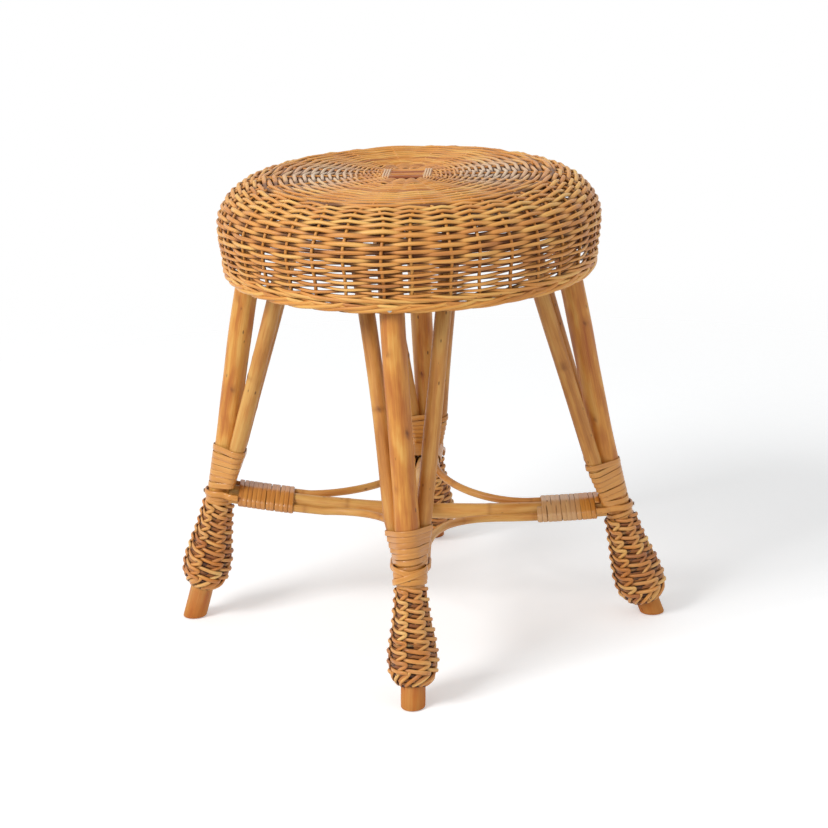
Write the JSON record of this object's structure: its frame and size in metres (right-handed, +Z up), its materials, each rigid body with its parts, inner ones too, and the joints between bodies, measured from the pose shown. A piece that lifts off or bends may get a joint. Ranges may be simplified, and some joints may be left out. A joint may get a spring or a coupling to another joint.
{
  "type": "mudda stool",
  "caption": "Round woven cane stool: a drum seat on leaning poles with stays, woven foot bulbs, crossing stretchers and bent corner canes bound with flat cane.",
  "frame": {"origin": "middle of the stool on the floor", "axes": "+Z up through the seat, -Y towards the front leg, +X towards the right leg"},
  "size_m": [0.4843, 0.485, 0.45],
  "materials": {
    "pole": "varnished round cane, satin",
    "slim_cane": "varnished cane, satin",
    "weave": "woven split cane, half matt",
    "binding": "flat cane skin, glossy",
    "inner_cane": "bare cane, matt",
    "nail_steel": "plain steel"
  },
  "bodies": {
    "root": {"seat_top_weave": "weave", "seat_side_weave": "weave", "seat_border": "weave", "seat_hoop": "inner_cane", "rail_upper_front": "inner_cane", "rail_upper_back": "inner_cane", "rail_lower_left": "inner_cane", "rail_lower_right": "inner_cane", "cross_rod_left_right": "slim_cane", "cross_rod_front_back": "slim_cane", "corner_cane_front_right": "slim_cane", "corner_cane_right_back": "slim_cane", "corner_cane_back_left": "slim_cane", "corner_cane_left_front": "slim_cane", "pole_front": "pole", "stay_front_a": "slim_cane", "stay_front_b": "slim_cane", "leg_binding_front": "binding", "arm_binding_front": "binding", "foot_bulb_front": "weave", "strap_front": "binding", "border_nail_front": "nail_steel", "hoop_nail_front": "nail_steel", "strap_nail_front": "nail_steel", "pole_right": "pole", "stay_right_a": "slim_cane", "stay_right_b": "slim_cane", "leg_binding_right": "binding", "arm_binding_right": "binding", "foot_bulb_right": "weave", "strap_right": "binding", "border_nail_right": "nail_steel", "hoop_nail_right": "nail_steel", "strap_nail_right": "nail_steel", "pole_back": "pole", "stay_back_a": "slim_cane", "stay_back_b": "slim_cane", "leg_binding_back": "binding", "arm_binding_back": "binding", "foot_bulb_back": "weave", "strap_back": "binding", "border_nail_back": "nail_steel", "hoop_nail_back": "nail_steel", "strap_nail_back": "nail_steel", "pole_left": "pole", "stay_left_a": "slim_cane", "stay_left_b": "slim_cane", "leg_binding_left": "binding", "arm_binding_left": "binding", "foot_bulb_left": "weave", "strap_left": "binding", "border_nail_left": "nail_steel", "hoop_nail_left": "nail_steel", "strap_nail_left": "nail_steel", "rail_nail_front_left": "nail_steel", "rail_nail_front_right": "nail_steel", "rail_nail_back_right": "nail_steel", "rail_nail_back_left": "nail_steel"}
  },
  "joints": []
}
